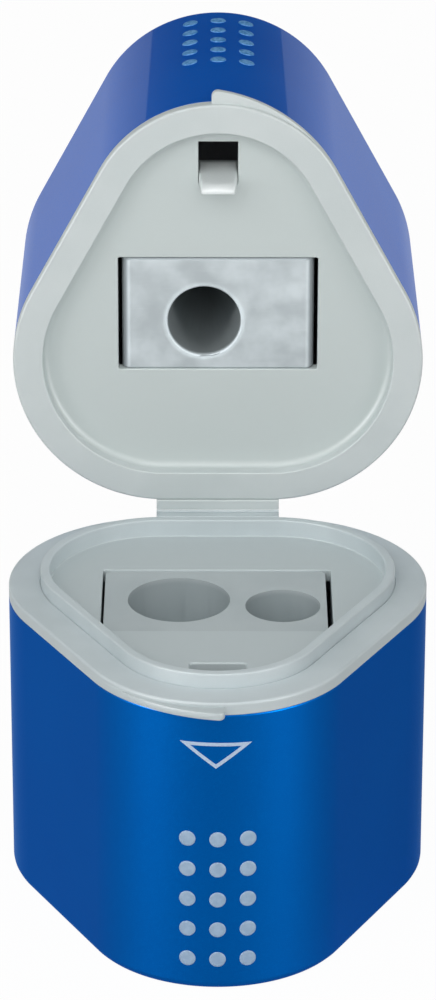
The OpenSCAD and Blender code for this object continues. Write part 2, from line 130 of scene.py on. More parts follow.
class Skin:
    """Rings and flat sheets of one piece, gathered in millimetres and welded into one mesh."""

    def __init__(self):
        self.points, self.faces, self.count = [], [], 0

    def add(self, points):
        """Stores an array of points and gives their numbers in the same layout."""
        points = np.asarray(points, float)
        number = self.count + np.arange(points[..., 0].size).reshape(points.shape[:-1])
        self.points.append(points.reshape(-1, 3))
        self.count += number.size
        return number

    def bands(self, rings, loop=True):
        """Quads between neighbouring rings; each ring closes on itself when loop is set."""
        n = self.add(rings)
        m = np.roll(n, -1, axis=1) if loop else n[:, 1:]
        n = n if loop else n[:, :-1]
        self.faces += np.stack((n[:-1], m[:-1], m[1:], n[1:]), axis=-1).reshape(-1, 4).tolist()

    def cap(self, ring, up=True):
        """One flat face on a ring, facing up for an anticlockwise ring."""
        n = self.add(ring)
        self.faces.append((n if up else n[::-1]).tolist())

    def sheet(self, loops, height, up=True):
        """Flat triangles at one height inside the first loop and outside the others."""
        flat = np.concatenate([np.asarray(loop)[:, :2] for loop in loops])
        ends = np.cumsum([len(loop) for loop in loops])
        edges = [np.column_stack((np.arange(e - len(p), e), np.roll(np.arange(e - len(p), e), -1)))
                 for p, e in zip(loops, ends)]
        found = delaunay_2d_cdt([Vector(p) for p in flat.tolist()],
                                np.concatenate(edges).tolist(), [], FILL_INSIDE, FILL_GAP)
        flat, triangles = np.array(found[0]), np.array(found[2])
        middle = flat[triangles].mean(axis=1)
        holed = np.any([inside_loop(middle, np.asarray(loop)[:, :2]) for loop in loops[1:]], axis=0)
        n = self.add(raised(flat, height))
        self.faces += n[triangles[~holed][:, ::1 if up else -1]].tolist()

    def piece(self, name, turn=None, crease=32, bare_from=None):
        """Welds the points, turns them if asked, smooths all but the sharp edges; object at origin.

        Faces added from number bare_from on take the second of the piece's materials."""
        points = np.concatenate(self.points)
        points = turn(points) if turn else points
        data = bpy.data.meshes.new(name)
        data.from_pydata((points * MM).tolist(), [], self.faces)
        if bare_from is not None:
            number = (np.arange(len(self.faces)) >= bare_from).astype(np.int32)
            data.polygons.foreach_set("material_index", number)
        return shown(name, data, crease)


WELD = 2e-6


def shown(name, data, crease=32):
    """Welds a mesh, smooths it except at sharp edges, and puts it in the scene at the origin."""
    bm = bmesh.new()
    bm.from_mesh(data)
    bmesh.ops.remove_doubles(bm, verts=bm.verts, dist=WELD)
    bmesh.ops.dissolve_degenerate(bm, dist=WELD, edges=bm.edges)
    bm.to_mesh(data)
    bm.free()
    data.shade_smooth()
    data.set_sharp_from_angle(angle=math.radians(crease))
    piece = bpy.data.objects.new(name, data)
    bpy.context.scene.collection.objects.link(piece)
    level = piece.modifiers.new("level", "WEIGHTED_NORMAL")
    level.keep_sharp = True
    return piece


class Wire:
    """One output socket in a node tree, or none yet; arithmetic on it adds Math nodes."""

    def __init__(self, tree, socket=None):
        self.tree, self.socket = tree, socket

    def node(self, kind, settings, sockets, out=0):
        """Adds a node: its settings first, then values or links in its sockets."""
        made = self.tree.nodes.new("ShaderNode" + kind)
        for key, value in settings.items():
            setattr(made, key, value)
        for key, value in sockets.items():
            if isinstance(value, Wire):
                self.tree.links.new(value.socket, made.inputs[key])
            else:
                made.inputs[key].default_value = value
        return Wire(self.tree, made.outputs[out])

    def math(self, operation, a, b):
        """Adds a Math node that works on a and b, each a wire or a number."""
        return self.node("Math", {"operation": operation}, {0: a, 1: b})

    def __add__(self, other):
        return self.math("ADD", self, other)

    def __mul__(self, other):
        return self.math("MULTIPLY", self, other)

    def __sub__(self, other):
        return self.math("SUBTRACT", self, other)

    def __rsub__(self, other):
        return self.math("SUBTRACT", other, self)

    __radd__, __rmul__ = __add__, __mul__

    def or_more(self, other):
        """The greater of the two at each place."""
        return self.math("MAXIMUM", self, other)

    def along(self, axis):
        """One coordinate of this place: 0 is x, 1 is y and 2 is z, in metres."""
        return self.node("SeparateXYZ", {}, {"Vector": self}, out=axis)

    def between(self, low, high):
        """0 below low, 1 above high, smooth in between; with low above high, the other way round."""
        return self.node("MapRange", {"interpolation_type": "SMOOTHSTEP"},
                         {"Value": self, "From Min": low, "From Max": high})

    def noise(self, per_mm, detail=2.0, rough=0.5):
        """Noise at this place with that many cells in a millimetre."""
        return self.node("TexNoise", {}, {"Vector": self, "Scale": per_mm / MM,
                                          "Detail": detail, "Roughness": rough})

    def tint(self, a, b):
        """Colour a where this is 0 and colour b where it is 1, by a Mix node's colour sockets."""
        return self.node("Mix", {"data_type": "RGBA"}, {0: self, 6: a, 7: b}, out=2)

    def feeds(self, name):
        """Links this to a socket of the material's Principled shader."""
        self.tree.links.new(self.socket, self.tree.nodes["Principled BSDF"].inputs[name])

    def bumps(self, depth_mm, strength=1.0):
        """Uses this height as relief of that depth on the shader's normal."""
        self.node("Bump", {}, {"Height": self, "Distance": depth_mm * MM,
                               "Strength": strength}).feeds("Normal")


def finish(name, **fixed):
    """A material with one Principled shader; fixed holds what is the same all over."""
    material = bpy.data.materials.new(name)
    material.use_nodes = True
    tree = material.node_tree
    for key, value in fixed.items():
        tree.nodes["Principled BSDF"].inputs[key.replace("_", " ")].default_value = value
    return material, Wire(tree).node("TexCoord", {}, {}, out="Object")


def tone(text):
    """Linear colour of a written sRGB colour such as 084B9B."""
    s = np.array([int(text[k:k + 2], 16) for k in (0, 2, 4)]) / 255
    return tuple(np.where(s <= 0.04045, s / 12.92, ((s + 0.055) / 1.055) ** 2.4)) + (1.0,)


def dress(piece, materials, body, slot_name, *nodes):
    """Gives a piece its materials and its CAD body, and hides the solids it stands for; slot_name is not
    used.
    """
    kept = np.zeros(len(piece.data.polygons), np.int32)
    piece.data.polygons.foreach_get("material_index", kept)
    piece.data.materials.clear()
    for material in materials if isinstance(materials, tuple) else (materials,):
        piece.data.materials.append(material)
    piece.data.polygons.foreach_set("material_index", kept)
    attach(piece, body)
    if nodes:
        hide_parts(*nodes)


outline, outward = case_outline()
lower_blue, spot = finish("satin_blue_lacquer", Specular_IOR_Level=0.12,
                          Specular_Tint=(0.25, 0.5, 0.9, 1))
flake = spot.noise(9.0, 1.0)
cloud = spot.noise(0.05, 2.0)
(cloud * 0.35 + flake.between(0.45, 0.72) * 0.3).tint(tone("004487"), tone("005598")).feeds("Base Color")
(0.4 + flake.between(0.4, 0.7) * 0.06).feeds("Roughness")
(0.82 + flake * 0.1).feeds("Metallic")
spot.noise(4.0, 2.0).bumps(0.004, 0.35)

bare_abs, spot = finish("bare_grey_abs", Specular_IOR_Level=0.3)
spot.noise(6.0, 2.0).tint(tone("A6AAAE"), tone("B2B6BA")).feeds("Base Color")
(0.55 + spot.noise(2.0) * 0.1).feeds("Roughness")

# the spray reaches over the mouth and a little way down its inner side
SPRAYED_IN = 1.0
MOUTH_EDGES = (0.25, 0.2)  # radius of the mouth's outer and inner edge
BASE_EDGE, BASE_INSET = 1.0, 1.9  # radius of the closed end's edge, and where its flat face begins
WELL_EDGE, WELL_INSET = 0.6, 3.0  # the same inside
lower_cup = Skin()
sprayed = carried(outline, outward, softened([
    (BASE_INSET, 0, 0), (0, 0, BASE_EDGE), (0, LOWER_SHELL_H, MOUTH_EDGES[0]),
    (SHELL_WALL, LOWER_SHELL_H, MOUTH_EDGES[1]), (SHELL_WALL, LOWER_SHELL_H - SPRAYED_IN, 0)]))
unsprayed = carried(outline, outward, softened([
    (SHELL_WALL, LOWER_SHELL_H - SPRAYED_IN, 0), (SHELL_WALL, LOWER_BASE, WELL_EDGE),
    (WELL_INSET, LOWER_BASE, 0)]))
lower_cup.bands(sprayed)
lower_cup.cap(sprayed[0], up=False)
bare = len(lower_cup.faces)
lower_cup.bands(unsprayed)
lower_cup.cap(unsprayed[-1])
dress(lower_cup.piece("lower_shell_lacquered", bare_from=bare), (lower_blue, bare_abs), "lower_case",
      "shell_blue", "lower_shell")

# ---------------------------------------------------------------------------
# Grip dots of the lower shell: soft pale pads of rubbery ink, three columns of
# five, printed thickly on the front corner so that wet fingers hold it.
DOT_R, DOT_H, DOT_SIDES = 0.9, 0.11, 24
DOT_COLUMNS, DOT_ROWS = 3, 5
DOT_STEP, DOT_ROW, DOT_FIRST = 3.25, 3.62, 16.1
DOME = np.array([  # share of the dot's radius, share of its height
    (1.0, -0.1), (0.985, 0.45), (0.94, 0.72), (0.86, 0.9), (0.7, 0.98), (0.45, 1.0)])


def round_corner(across, height, lift):
    """Bends flat places round the front corner: at radius R + lift, turned by across / R about its axis."""
    turn = across / FRONT_R
    out = FRONT_R + lift
    return np.stack((out * np.sin(turn), FRONT_Y - out * np.cos(turn), height), axis=-1)


def dot_pads(first_z, step_z):
    """Domes on the front corner: circles of radius r share, each at its share of the height."""
    around = np.linspace(0, 2 * math.pi, DOT_SIDES + 1)[:-1]
    share = DOT_R * DOME[:, :1]
    lift = np.broadcast_to(DOT_H * DOME[:, 1:], (len(DOME), DOT_SIDES))
    skin = Skin()
    for across in (np.arange(DOT_COLUMNS) - DOT_COLUMNS // 2) * DOT_STEP:
        for z in first_z + step_z * np.arange(DOT_ROWS):
            rings = round_corner(across + share * np.cos(around), z + share * np.sin(around), lift)
            skin.bands(rings)
            skin.cap(rings[-1])
            skin.cap(rings[0], up=False)
    return skin


dot_ink, spot = finish("rubbery_grip_ink", Roughness=0.55, IOR=1.45)
spot.noise(1.2, 3.0).between(0.3, 0.75).tint(tone("8CA5BE"), tone("99B1C8")).feeds("Base Color")
spot.noise(12.0, 2.0).bumps(0.01, 0.3)
dress(dot_pads(JOINT_Z - DOT_FIRST, -DOT_ROW).piece("lower_grip_pads", crease=50),
      dot_ink, "lower_case", "dot_grey", "lower_grip_dots")

# ---------------------------------------------------------------------------
# Opening mark: a plain triangle in outline, printed in the same pale ink under
# the thumb lips to show where the halves part. It is only as thick as the ink.
MARK_CORNERS = np.array([(-4.02, -4.6), (-0.2, -7.66), (3.62, -4.68)])  # across, up from the joint
MARK_LINE, MARK_THICK, MARK_PARTS = 0.38, 0.03, 12


def printed_outline(corners, line, front_z):
    """Band between a polygon and the same polygon moved inwards by the line, bent round the corner.

    A corner moves along the sum of its sides' inward normals over 1 plus their product."""
    side = np.roll(corners, -1, axis=0) - corners
    side /= np.linalg.norm(side, axis=1)[:, None]
    inward = np.column_stack((-side[:, 1], side[:, 0]))
    before = np.roll(inward, 1, axis=0)
    joint = (before + inward) / (1 + np.sum(before * inward, axis=1))[:, None]
    s = np.linspace(0, 1, MARK_PARTS + 1)[:-1, None]
    inner, outer = (np.concatenate([c[k] + s * (np.roll(c, -1, axis=0)[k] - c[k]) for k in range(3)])
                    for c in (corners + joint * line, corners))
    section = ((inner, 0.0), (inner, MARK_THICK), (outer, MARK_THICK), (outer, 0.0), (inner, 0.0))
    skin = Skin()
    skin.bands(np.array([round_corner(loop[:, 0], front_z + loop[:, 1], lift) for loop, lift in section]))
    return skin


mark_ink, spot = finish("printed_mark_ink", Roughness=0.5)
spot.noise(3.0, 2.0).tint(tone("A4B9D2"), tone("B4C6DC")).feeds("Base Color")
dress(printed_outline(MARK_CORNERS, MARK_LINE, JOINT_Z).piece("opening_mark"),
      mark_ink, "lower_case", "dot_grey")

# ---------------------------------------------------------------------------
# Lower carrier: light grey ABS moulding that closes the lower cup. Its rim shows
# between the shells and grows into a thumb lip, its collar holds the lid, its
# floor has the window of the twin block and the slot that catches the latch.
RIM_T, FLOOR_T, SKIRT_H = 1.4, 1.4, 6.0
RIM_PLAY, RIM_EDGE = 0.03, 0.3
RIM_FACE = JOINT_Z - RIM_PLAY
SKIRT_OUT, SKIRT_IN, SKIRT_EDGE = 1.75, 2.85, 0.3
COLLAR_IN, COLLAR_OUT, COLLAR_H = 4.55, 3.5, 1.6
COLLAR_EDGES = (0.2, 0.18, 0.15)  # outer and inner edge of its top, and its foot inside
GROOVE_DEEP, GROOVE_SIDES = 0.12, (0.1, 0.06)  # fine groove that sets the collar off the rim
LOWER_FLOOR, FLOOR_INSET = 34.0, 1.2
TWIN_X, TWIN_W, TWIN_FRONT, TWIN_D, TWIN_LEN = -0.25, 24.3, -5.45, 15.6, 27.6
TWIN_TOP, TWIN_CORNER = 33.8, 0.3
TWIN_GAPS = (0.3, 0.6)  # at its left and right side
TONGUE_Y, TONGUE_T, TONGUE_W = -15.0, 0.95, 4.1
SLOT_HALF, SLOT_AHEAD, SLOT_BEHIND, SLOT_EDGE = 3.0, 0.25, 0.8, 0.25
LIP_GROW, LIP_PAST, LIP_END_R, LIP_DROP = 3.2, 0.75, 0.7, 0.5
LIP_UNDER = np.array([(0, 0.25), (0.07, 0.07), (0.25, 0.0)])  # height from the shell, inset
LIP_OVER = np.array([(0.22, 0.0), (0.06, 0.06), (0, 0.22)])  # height from the face, inset
POCKET_T, POCKET_INSET, GUIDE_LEN, TWIN_WALL = 1.2, 2.0, 4.6, 11.0
WALL_ROOT = 0.2  # how far walls and arms reach into the floor that they stand on
CLIP_T, CLIP_HALF, CLIP_HOOK, HOOK_ROOT = 1.2, 3.5, 1.3, 0.3
TWIN_CLIP_Y = TWIN_FRONT + TWIN_D - 5.5


def lipped_outline(mirror):
    """The case outline and, pair by pair, the outline with the thumb lip.

    The lip is a larger circle tangent to one flank, run to just past the middle and rounded off.
    Also gives how far each point is within the lip, from 0 outside it to 1, which it reaches
    where the lip stands lip_full proud of the case."""
    lip_full = 0.5
    sweep_parts, nose_parts, drop_parts, tail_parts, back_parts, flank_parts = 52, 12, 4, 42, 80, 14
    nose_turn = 2.4
    turn = FLANK_TURN
    flank = np.array((-math.cos(math.radians(turn)), math.sin(math.radians(turn))))
    big = np.array((0, FRONT_Y)) - flank * LIP_GROW
    big_r = FRONT_R + LIP_GROW
    end_x = LIP_PAST - LIP_END_R
    end_y = big[1] - math.sqrt((big_r - LIP_END_R) ** 2 - (big[0] - end_x) ** 2)
    last = math.degrees(math.atan2(end_y - big[1], end_x - big[0])) % 360
    sweep, sweep_n = arc(big, big_r, 180 - turn, last, sweep_parts)
    nose, nose_n = arc((end_x, end_y), LIP_END_R, last, 360, nose_parts)
    base_end = math.degrees(math.acos(LIP_PAST / FRONT_R))
    foot = np.array((LIP_PAST, FRONT_Y - math.sqrt(FRONT_R ** 2 - LIP_PAST ** 2)))
    drop = nose[-1] + np.linspace(0, 1, drop_parts + 1)[1:, None] * (foot - nose[-1])
    lip = np.concatenate((sweep, nose[1:], drop))
    lip_n = np.concatenate((sweep_n, nose_n[1:], np.repeat([(1.0, 0.0)], drop_parts, axis=0)))
    under_sweep = np.linspace(180 - turn, 360 - base_end - nose_turn, sweep_parts)
    under_nose = np.linspace(under_sweep[-1], 360 - base_end, nose_parts + drop_parts)[1:]
    t = np.radians(np.concatenate((under_sweep, under_nose)))
    base_n = np.column_stack((np.cos(t), np.sin(t)))
    base = np.array((0, FRONT_Y)) + FRONT_R * base_n
    tail, tail_n = arc((0, FRONT_Y), FRONT_R, 360 - base_end, 360 + turn, tail_parts)
    right, right_n = arc((BACK_X, BACK_Y), BACK_R, turn, 90, back_parts)
    left, left_n = arc((-BACK_X, BACK_Y), BACK_R, 90, 180 - turn, back_parts)
    s = np.linspace(0, 1, flank_parts + 1)[1:-1, None]
    plain = np.concatenate((tail[1:], tail[-1] + s * (right[0] - tail[-1]), right, left,
                            left[-1] + s * (base[0] - left[-1])))
    plain_n = np.concatenate((tail_n[1:], np.repeat(right_n[:1], len(s), axis=0), right_n, left_n,
                              np.repeat(left_n[-1:], len(s), axis=0)))
    sets = [np.concatenate((base, plain)), np.concatenate((base_n, plain_n)),
            np.concatenate((lip, plain)), np.concatenate((lip_n, plain_n))]
    proud = np.linalg.norm(sets[2] - sets[0], axis=1)
    share = np.clip(proud / lip_full, 0, 1)
    if mirror:
        sets = [a[::-1] * (-1, 1) for a in sets]
        share = share[::-1]
    return sets + [share]


def lip_rings(rim, heights):
    """Rings of the outer side of a rim: the outline with the lip, drawn in by inset times its share.

    heights lists pairs of (height, inset), so the inset fades to 0 outside the lip."""
    _, _, lip, lip_n, share = rim
    return [raised(lip - (inset * share)[:, None] * lip_n, z) for z, inset in heights]


def rectangle(x0, x1, y0, y1, r=0.0, far_r=None, steps=4):
    """Anticlockwise loop of a rectangle, its corners quarter circles of radius r, far_r at y1."""
    q = r if far_r is None else far_r
    turns = [arc(c, w, a, a + 90, steps)[0] for c, w, a in
             (((x1 - r, y0 + r), r, -90), ((x1 - q, y1 - q), q, 0),
              ((x0 + q, y1 - q), q, 90), ((x0 + r, y0 + r), r, 180))]
    return np.concatenate(turns)


QUARTER = np.radians(np.linspace(0, 90, 4))


def block_skin(skin, x0, x1, y0, y1, z0, z1, r=0.2):
    """Box with rounded corners and edges: a rounded rectangle drawn in and out as it rises.

    Its edges are quarter circles, r - r sin t in from the sides where they are r - r cos t up."""
    zs = np.concatenate((z0 + r - r * np.cos(QUARTER), z1 - r + r * np.sin(QUARTER)))
    ins = np.concatenate((r - r * np.sin(QUARTER), r - r * np.cos(QUARTER)))
    rings = np.array([raised(rectangle(x0 + i, x1 - i, y0 + i, y1 - i, r), z) for i, z in zip(ins, zs)])
    skin.bands(rings)
    skin.cap(rings[0], up=False)
    skin.cap(rings[-1])


def well(skin, loop_at, z_face, z_back, edge=0.12):
    """Wall of an opening through a floor: loops drawn by loop_at(growth) from its face to its back.

    The edge in the face is a quarter circle: grown by edge (1 - sin t), edge (1 - cos t) deep."""
    into = math.copysign(edge, z_back - z_face)
    zs = np.concatenate((z_face + into * (1 - np.cos(QUARTER)), [z_back]))
    grow = np.concatenate((edge * (1 - np.sin(QUARTER)), [0.0]))
    rings = [raised(loop_at(g), z) for g, z in zip(grow, zs)]
    skin.bands(np.array(rings if into < 0 else rings[::-1]))
    return rings[0], rings[-1]


def clip_skin(skin, x_face, gap, z_floor, z_end, y_mid, side):
    """Springy arm beside a block: one box for the arm, and one for the hook under the block's end."""
    step = math.copysign(CLIP_T, z_end - z_floor)
    for near, far, start in ((x_face - gap - CLIP_T, x_face - gap, z_floor),
                             (x_face - gap - HOOK_ROOT, x_face + CLIP_HOOK, z_end)):
        xs = sorted((side * near, side * far))
        low, high = sorted((start, z_end + step))
        block_skin(skin, xs[0], xs[1], y_mid - CLIP_HALF, y_mid + CLIP_HALF, low, high)


def moulded_grey(name, dark, light, sunk=None):
    """Light grey moulding: faint clouding in the colour, fine spark-eroded grain in the relief.

    sunk gives the axis, the two places between which the sunk floor begins, and its colour, a painted shade."""
    material, spot = finish(name, IOR=1.5, Specular_IOR_Level=0.45)
    grain = spot.noise(16.0, 2.0)
    cloud = spot.noise(0.12, 3.0)
    grey = (cloud.between(0.3, 0.7) * 0.4 + grain * 0.6).tint(tone(dark), tone(light))
    if sunk:
        axis, low, high, colour = sunk
        grey = spot.along(axis).between(low * MM, high * MM).tint(grey, tone(colour))
    grey.feeds("Base Color")
    (0.42 + cloud * 0.08 + grain * 0.06).feeds("Roughness")
    (grain + spot.noise(5.0, 2.0) * 0.6).bumps(0.006, 0.5)
    return material


# painted shade: the floor inside the collar is painted a shade darker than the rim above it,
# and this whole moulding is painted darker than the lid's, though both are one grey plastic
lower_grey_painted_darker = moulded_grey("moulded_grey_lower", "B7C2C5", "C9D3D6",
                          (2, LOWER_FLOOR + 0.3, LOWER_FLOOR + 0.05, "B8C2C4"))
lower_rim = lipped_outline(False)
under = LOWER_FLOOR - FLOOR_T
foot = JOINT_Z - RIM_T - SKIRT_H
groove = RIM_FACE - GROOVE_DEEP
carrier = Skin()
skirt = softened([(SKIRT_IN, under, 0), (SKIRT_IN, foot, SKIRT_EDGE), (SKIRT_OUT, foot, SKIRT_EDGE),
                  (SKIRT_OUT, JOINT_Z - RIM_T, 0)])
collar = softened([(0, JOINT_Z - LIP_DROP, 0), (0, RIM_FACE, RIM_EDGE),
                   (COLLAR_OUT - GROOVE_SIDES[0], RIM_FACE, 0), (COLLAR_OUT - GROOVE_SIDES[1], groove, 0),
                   (COLLAR_OUT, groove, 0), (COLLAR_OUT, JOINT_Z + COLLAR_H, COLLAR_EDGES[0]),
                   (COLLAR_IN, JOINT_Z + COLLAR_H, COLLAR_EDGES[1]),
                   (COLLAR_IN, LOWER_FLOOR, COLLAR_EDGES[2]), (COLLAR_IN + FLOOR_INSET, LOWER_FLOOR, 0)])
lip_side = lip_rings(lower_rim, np.concatenate((LIP_UNDER + (JOINT_Z - RIM_T, 0),
                                                LIP_OVER * (-1, 1) + (JOINT_Z - LIP_DROP, 0))))
carrier_rings = np.concatenate((carried(lower_rim[0], lower_rim[1], skirt), lip_side,
                                carried(lower_rim[0], lower_rim[1], collar)))
carrier.bands(carrier_rings)


def twin_window(grow):
    """Rounded rectangle round the twin block with its gaps, grown all round."""
    left = TWIN_X - TWIN_W / 2 - TWIN_GAPS[0]
    right = TWIN_X + TWIN_W / 2 + TWIN_GAPS[1]
    return rectangle(left - grow, right + grow, TWIN_FRONT - grow, TWIN_FRONT + TWIN_D + grow,
                     TWIN_CORNER + grow)


def latch_slot(grow):
    """Rounded rectangle round the tongue's place when the box is shut, grown all round."""
    half = SLOT_HALF + grow
    return rectangle(-half, half, TONGUE_Y - SLOT_AHEAD - grow, TONGUE_Y + TONGUE_T + SLOT_BEHIND + grow,
                     SLOT_EDGE + grow)


window = well(carrier, twin_window, LOWER_FLOOR, under)
slot = well(carrier, latch_slot, LOWER_FLOOR, under, SLOT_EDGE)
carrier.sheet([carrier_rings[-1], window[0], slot[0]], LOWER_FLOOR)
carrier.sheet([carrier_rings[0], window[1], slot[1]], under, up=False)
root = under + WALL_ROOT
for y, low in ((TWIN_FRONT - POCKET_T, TWIN_TOP - GUIDE_LEN), (TWIN_FRONT + TWIN_D, root - TWIN_WALL)):
    block_skin(carrier, TWIN_X - TWIN_W / 2 + POCKET_INSET, TWIN_X + TWIN_W / 2 - POCKET_INSET,
               y, y + POCKET_T, low, root)
clip_skin(carrier, TWIN_X - TWIN_W / 2, TWIN_GAPS[0], root, TWIN_TOP - TWIN_LEN, TWIN_CLIP_Y, 1)
clip_skin(carrier, -TWIN_X - TWIN_W / 2, TWIN_GAPS[1], root, TWIN_TOP - TWIN_LEN, TWIN_CLIP_Y, -1)
dress(carrier.piece("lower_carrier_moulding"), lower_grey_painted_darker, "lower_insert", "carrier_grey", "lower_carrier")

# ---------------------------------------------------------------------------
# Hinge: one flat strap moulded with both carriers and thinned to a film in the
# middle, so that it folds there. Each leaf rides with the carrier it grows from.
HINGE_Y, LID_OPEN = 25.0, 90.5
LEAF_EDGE = 0.12
FLAT_TURN, EDGE_TURN = math.radians(0.6), math.radians(40)


def from_solid(name, node, radius, segments=2, clamped=True):
    """Copy of a CAD solid, welded, its flat triangles merged, its edges rounded by a Bevel.

    The Bevel comes before the modifier that levels the normals. One short edge in a solid holds
    the whole Bevel back, unless clamped is off."""
    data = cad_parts[node].data.copy()
    bm = bmesh.new()
    bm.from_mesh(data)
    bmesh.ops.remove_doubles(bm, verts=bm.verts, dist=WELD)
    bmesh.ops.dissolve_limit(bm, angle_limit=FLAT_TURN, verts=bm.verts, edges=bm.edges)
    bm.to_mesh(data)
    bm.free()
    piece = shown(name, data)
    if radius:
        bevel = piece.modifiers.new("edges", "BEVEL")
        bevel.width, bevel.segments = radius * MM, segments
        bevel.limit_method, bevel.angle_limit = "ANGLE", EDGE_TURN
        bevel.use_clamp_overlap = clamped
        piece.modifiers.move(1, 0)
    return piece


# painted shade: the lid's sunk floor is painted a shade darker than its rim; on the open lid it
# lies further back. This moulding is painted lighter than the lower one, as painted light
upper_grey_painted_lighter = moulded_grey("moulded_grey_upper", "C2CBCB", "CFD6D6",
                          (1, HINGE_Y + 1.2, HINGE_Y + 1.7, "C4CDCC"))
dress(from_solid("lower_leaf", "lower_hinge_leaf", LEAF_EDGE), lower_grey_painted_darker, "lower_insert",
      "carrier_grey", "lower_hinge_leaf")
dress(from_solid("folding_film", "hinge_film", 0), lower_grey_painted_darker, "lower_insert", "carrier_grey", "hinge_film")
dress(from_solid("upper_leaf", "upper_hinge_leaf", LEAF_EDGE), upper_grey_painted_lighter, "upper_insert",
      "carrier_grey_upper", "upper_hinge_leaf")

# ---------------------------------------------------------------------------
# Twin sharpener: one block of darker grey plastic with a jumbo and a standard
# hole. It stands in its window and two clips hold it; each hole has a steel
# blade with a ground bevel, held by one countersunk screw.
BLOCK_EDGE, BLADE_EDGE, SCREW_EDGE = 0.14, 0.04, 0.06
block_grey, spot = finish("moulded_grey_block", IOR=1.5, Specular_IOR_Level=0.4)
grain = spot.noise(14.0, 2.0)
cloud = spot.noise(0.15, 3.0)
# below its top face, the walls of its holes and the rest are painted a shade darker, as painted shade
deep = spot.along(2).between((TWIN_TOP - 0.1) * MM, (TWIN_TOP - 0.7) * MM)
grey = (cloud.between(0.3, 0.7) * 0.4 + grain * 0.6).tint(tone("A7B1B4"), tone("B7C0C2"))
deep.tint(grey, tone("A0ABAE")).feeds("Base Color")
(0.46 + grain * 0.1).feeds("Roughness")
(grain + spot.noise(4.0, 2.0) * 0.6).bumps(0.008, 0.5)
dress(from_solid("twin_block", "twin_sharpener_block", BLOCK_EDGE), block_grey, "lower_insert",
      "block_grey", "twin_sharpener_block")

blade_steel, spot = finish("ground_blade_steel", Metallic=1.0)
brushed = spot.node("Mapping", {}, {"Vector": spot, "Scale": (1.0, 0.05, 1.0)}).noise(14.0, 3.0)
brushed.tint(tone("C4C7CA"), tone("D8DADC")).feeds("Base Color")
(0.24 + brushed * 0.16).feeds("Roughness")
brushed.bumps(0.002, 0.4)

screw_steel, spot = finish("plated_screw_steel", Metallic=1.0)
grain = spot.noise(8.0, 3.0)
grain.tint(tone("B9BCC0"), tone("D0D2D4")).feeds("Base Color")
(0.26 + grain * 0.14).feeds("Roughness")
grain.bumps(0.004, 0.3)

for kind in ("jumbo", "standard"):
    dress(from_solid(kind + "_cutter", kind + "_blade", BLADE_EDGE, 1), blade_steel,
          "lower_insert", "blade_steel", kind + "_blade")
    dress(from_solid(kind + "_fixing", kind + "_blade_screw", SCREW_EDGE, 1), screw_steel,
          "lower_insert", "screw_steel", kind + "_blade_screw")

# ---------------------------------------------------------------------------
# Upper carrier: the lid's grey moulding, painted lighter than the lower one as painted light.
# The collar enters its recess when the box is shut. Its floor has the window of the metal
# sharpener and the small window of the latch tongue, and its lip mirrors the lower one.
UPPER_FLOOR = 36.4
LID_TOP = UPPER_FLOOR + FLOOR_T
RECESS, RECESS_FOOT, RECESS_EDGE, RECESS_INSET = 3.35, 0.7, 0.18, 0.85
METAL_W, METAL_D, METAL_Y, METAL_LEN = 21.5, 13.3, 1.7, 22.2
METAL_GAP, METAL_SEAT, METAL_CORNER, METAL_DROP = 0.45, 0.12, 0.25, 0.2
METAL_Z = UPPER_FLOOR + METAL_DROP
METAL_FRONT, METAL_BACK = METAL_Y - METAL_D / 2, METAL_Y + METAL_D / 2
METAL_CLIP_Y = METAL_Y - 1.0
TAB_PLAY, TAB_AHEAD, TAB_BEHIND = 0.15, 3.7, 0.6
TAB_HALF = TONGUE_W / 2 + TAB_PLAY
TAB_CORNERS = (0.12, 0.55)  # at the side of the lid's front corner, and beside the tab
LATCH_AXIS, BRIDGE_PLAY = 2.2, 0.12
BRIDGE_Z = LID_TOP + LATCH_AXIS + TONGUE_T / 2 + BRIDGE_PLAY
BRIDGE_T, BRIDGE_EDGE, BRIDGE_AHEAD = 1.4, 0.1, 0.4


def opened(points):
    """Turns points of the closed lid about the hinge line by the angle of the open lid.

    y and z, from the line, become y cos a - z sin a and y sin a + z cos a."""
    a = math.radians(-LID_OPEN)
    y, z = points[:, 1] - HINGE_Y, points[:, 2] - JOINT_Z
    return np.column_stack((points[:, 0], HINGE_Y + y * math.cos(a) - z * math.sin(a),
                            JOINT_Z + y * math.sin(a) + z * math.cos(a)))


def metal_window(grow):
    """Rounded rectangle round the metal body with its gaps, grown all round."""
    half = METAL_W / 2 + METAL_GAP + grow
    return rectangle(-half, half, METAL_FRONT - METAL_SEAT - grow, METAL_BACK + grow, METAL_CORNER + grow)


def latch_window(grow):
    """Rounded rectangle round the tongue and the room it bends into, grown all round."""
    half = TAB_HALF + grow
    return rectangle(-half, half, TONGUE_Y - TAB_AHEAD - grow, TONGUE_Y + TONGUE_T + TAB_BEHIND + grow,
                     TAB_CORNERS[0] + grow, TAB_CORNERS[1] + grow)


